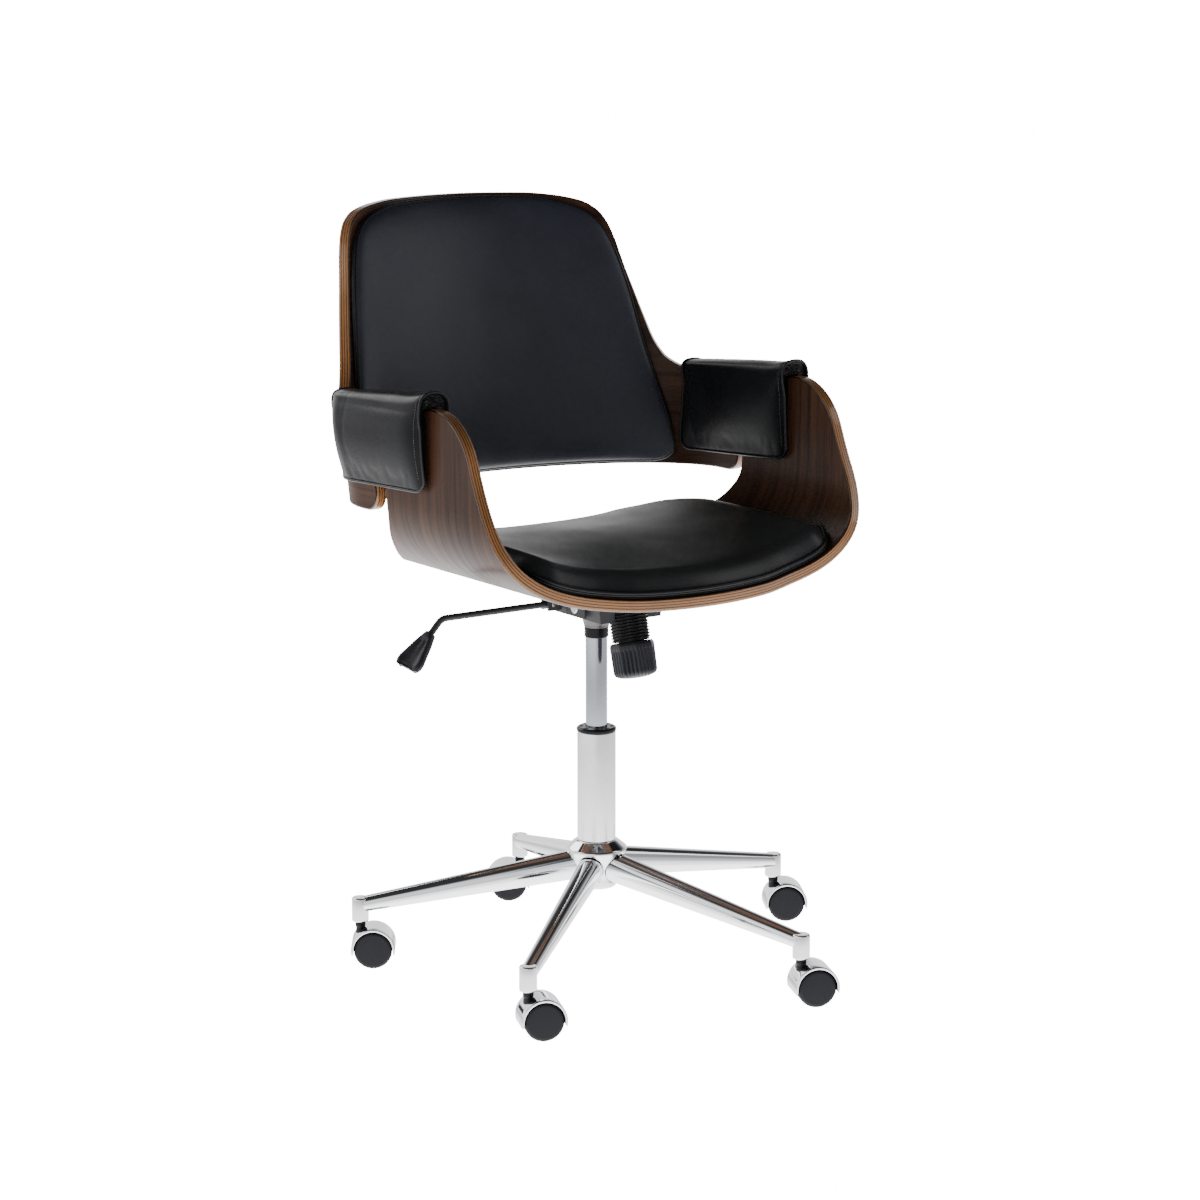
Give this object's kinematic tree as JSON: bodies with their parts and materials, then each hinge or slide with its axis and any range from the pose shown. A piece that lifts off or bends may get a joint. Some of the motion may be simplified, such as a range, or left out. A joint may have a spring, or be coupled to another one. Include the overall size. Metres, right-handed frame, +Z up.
{
  "type": "office chair",
  "caption": "Swivel office chair with a bent plywood seat and wrap-around back, leather cushions and arm pads, tilt, height lever and a chromed star base on casters.",
  "frame": {"origin": "middle of the footprint of the whole chair, on the floor", "axes": "+Z up, the chair faces -Y, the sitter's right is -X"},
  "size_m": [0.6644, 0.6644, 0.9826],
  "materials": {
    "base_hub": "polished",
    "base_leg_1": "polished",
    "base_leg_2": "polished",
    "base_leg_3": "polished",
    "base_leg_4": "polished",
    "base_leg_5": "polished",
    "column_tube": "polished",
    "column_guide": "matt",
    "column_rod": "polished",
    "mechanism_box": "satin black",
    "column_top_ring": "matt",
    "tension_sleeve": "matt",
    "lever_bracket": "satin black",
    "tension_knob": "matt",
    "lever_rod": "satin black",
    "lever_handle": "matt",
    "seat_plate": "satin black",
    "tilt_axle": "bright zinc",
    "seat_shell": "satin lacquer",
    "back_shell": "satin lacquer",
    "seat_cushion": "soft sheen",
    "back_cushion": "soft sheen",
    "arm_pad_left": "soft sheen",
    "arm_pad_right": "soft sheen",
    "arm_strap_left": "satin black",
    "arm_strap_right": "satin black",
    "caster_1_body": "matt",
    "caster_1_hood": "polished",
    "caster_1_axle": "bright zinc",
    "caster_1_wheel_a": "matt",
    "caster_1_wheel_b": "matt",
    "caster_2_body": "matt",
    "caster_2_hood": "polished",
    "caster_2_axle": "bright zinc",
    "caster_2_wheel_a": "matt",
    "caster_2_wheel_b": "matt",
    "caster_3_body": "matt",
    "caster_3_hood": "polished",
    "caster_3_axle": "bright zinc",
    "caster_3_wheel_a": "matt",
    "caster_3_wheel_b": "matt",
    "caster_4_body": "matt",
    "caster_4_hood": "polished",
    "caster_4_axle": "bright zinc",
    "caster_4_wheel_a": "matt",
    "caster_4_wheel_b": "matt",
    "caster_5_body": "matt",
    "caster_5_hood": "polished",
    "caster_5_axle": "bright zinc",
    "caster_5_wheel_a": "matt",
    "caster_5_wheel_b": "matt"
  },
  "bodies": {
    "base": {"base_hub": "base_hub", "base_leg_1": "base_leg_1", "base_leg_2": "base_leg_2", "base_leg_3": "base_leg_3", "base_leg_4": "base_leg_4", "base_leg_5": "base_leg_5", "column_tube": "column_tube", "column_guide": "column_guide"},
    "rod": {"column_rod": "column_rod"},
    "mechanism": {"mechanism_box": "mechanism_box", "column_top_ring": "column_top_ring", "tension_sleeve": "tension_sleeve", "lever_bracket": "lever_bracket"},
    "knob": {"tension_knob": "tension_knob"},
    "lever": {"lever_rod": "lever_rod", "lever_handle": "lever_handle"},
    "seat": {"seat_plate": "seat_plate", "tilt_axle": "tilt_axle", "seat_shell": "seat_shell", "back_shell": "back_shell", "seat_cushion": "seat_cushion", "back_cushion": "back_cushion", "arm_pad_left": "arm_pad_left", "arm_pad_right": "arm_pad_right", "arm_strap_left": "arm_strap_left", "arm_strap_right": "arm_strap_right"},
    "caster_1": {"caster_1_body": "caster_1_body", "caster_1_hood": "caster_1_hood", "caster_1_axle": "caster_1_axle"},
    "wheel_1a": {"caster_1_wheel_a": "caster_1_wheel_a"},
    "wheel_1b": {"caster_1_wheel_b": "caster_1_wheel_b"},
    "caster_2": {"caster_2_body": "caster_2_body", "caster_2_hood": "caster_2_hood", "caster_2_axle": "caster_2_axle"},
    "wheel_2a": {"caster_2_wheel_a": "caster_2_wheel_a"},
    "wheel_2b": {"caster_2_wheel_b": "caster_2_wheel_b"},
    "caster_3": {"caster_3_body": "caster_3_body", "caster_3_hood": "caster_3_hood", "caster_3_axle": "caster_3_axle"},
    "wheel_3a": {"caster_3_wheel_a": "caster_3_wheel_a"},
    "wheel_3b": {"caster_3_wheel_b": "caster_3_wheel_b"},
    "caster_4": {"caster_4_body": "caster_4_body", "caster_4_hood": "caster_4_hood", "caster_4_axle": "caster_4_axle"},
    "wheel_4a": {"caster_4_wheel_a": "caster_4_wheel_a"},
    "wheel_4b": {"caster_4_wheel_b": "caster_4_wheel_b"},
    "caster_5": {"caster_5_body": "caster_5_body", "caster_5_hood": "caster_5_hood", "caster_5_axle": "caster_5_axle"},
    "wheel_5a": {"caster_5_wheel_a": "caster_5_wheel_a"},
    "wheel_5b": {"caster_5_wheel_b": "caster_5_wheel_b"}
  },
  "joints": [
    {"name": "height_slide", "type": "slide", "parent": "base", "child": "rod", "axis": [0, 0, 1], "range_m": [-0.1, 0]},
    {"name": "seat_swivel", "type": "hinge", "parent": "rod", "child": "mechanism", "pos_m": [-0.02545, -0.00759, 0.4493], "axis": [0, 0, 1], "continuous": true},
    {"name": "seat_tilt", "type": "hinge", "parent": "mechanism", "child": "seat", "pos_m": [-0.02545, -0.03759, 0.485], "axis": [-1, 0, 0], "range_deg": [0, 12], "stiffness_Nm_per_rad": 120, "springref_deg": -10.03},
    {"name": "tension_turn", "type": "hinge", "parent": "mechanism", "child": "knob", "pos_m": [-0.02545, -0.08509, 0.442], "axis": [0, 0.2419, 0.9703], "range_deg": [-540, 540]},
    {"name": "lever_lift", "type": "hinge", "parent": "mechanism", "child": "lever", "pos_m": [-0.08745, 0.00641, 0.4838], "axis": [0, 1, 0], "range_deg": [0, 8]},
    {"name": "caster_1_swivel", "type": "hinge", "parent": "base", "child": "caster_1", "pos_m": [0.28199, 0.01089, 0.06], "axis": [0, 0, 1], "continuous": true},
    {"name": "wheel_1a_spin", "type": "hinge", "parent": "caster_1", "child": "wheel_1a", "pos_m": [0.29628, 0.00264, 0.025], "axis": [0.5, 0.866, 0], "continuous": true},
    {"name": "wheel_1b_spin", "type": "hinge", "parent": "caster_1", "child": "wheel_1b", "pos_m": [0.29628, 0.00264, 0.025], "axis": [0.5, 0.866, 0], "continuous": true},
    {"name": "caster_2_swivel", "type": "hinge", "parent": "base", "child": "caster_2", "pos_m": [0.05198, 0.29052, 0.06], "axis": [0, 0, 1], "continuous": true},
    {"name": "wheel_2a_spin", "type": "hinge", "parent": "caster_2", "child": "wheel_2a", "pos_m": [0.03769, 0.29877, 0.025], "axis": [-0.5, -0.866, 0], "continuous": true},
    {"name": "wheel_2b_spin", "type": "hinge", "parent": "caster_2", "child": "wheel_2b", "pos_m": [0.03769, 0.29877, 0.025], "axis": [-0.5, -0.866, 0], "continuous": true},
    {"name": "caster_3_swivel", "type": "hinge", "parent": "base", "child": "caster_3", "pos_m": [-0.28504, 0.15817, 0.06], "axis": [0, 0, 1], "continuous": true},
    {"name": "wheel_3a_spin", "type": "hinge", "parent": "caster_3", "child": "wheel_3a", "pos_m": [-0.2712, 0.14918, 0.025], "axis": [0.5446, 0.8387, 0], "continuous": true},
    {"name": "wheel_3b_spin", "type": "hinge", "parent": "caster_3", "child": "wheel_3b", "pos_m": [-0.2712, 0.14918, 0.025], "axis": [0.5446, 0.8387, 0], "continuous": true},
    {"name": "caster_4_swivel", "type": "hinge", "parent": "base", "child": "caster_4", "pos_m": [-0.26332, -0.20325, 0.06], "axis": [0, 0, 1], "continuous": true},
    {"name": "wheel_4a_spin", "type": "hinge", "parent": "caster_4", "child": "wheel_4a", "pos_m": [-0.24802, -0.20943, 0.025], "axis": [0.3746, 0.9272, 0], "continuous": true},
    {"name": "wheel_4b_spin", "type": "hinge", "parent": "caster_4", "child": "wheel_4b", "pos_m": [-0.24802, -0.20943, 0.025], "axis": [0.3746, 0.9272, 0], "continuous": true},
    {"name": "caster_5_swivel", "type": "hinge", "parent": "base", "child": "caster_5", "pos_m": [0.08713, -0.29428, 0.06], "axis": [0, 0, 1], "continuous": true},
    {"name": "wheel_5a_spin", "type": "hinge", "parent": "caster_5", "child": "wheel_5a", "pos_m": [0.10232, -0.30072, 0.025], "axis": [0.3907, 0.9205, 0], "continuous": true},
    {"name": "wheel_5b_spin", "type": "hinge", "parent": "caster_5", "child": "wheel_5b", "pos_m": [0.10232, -0.30072, 0.025], "axis": [0.3907, 0.9205, 0], "continuous": true}
  ]
}
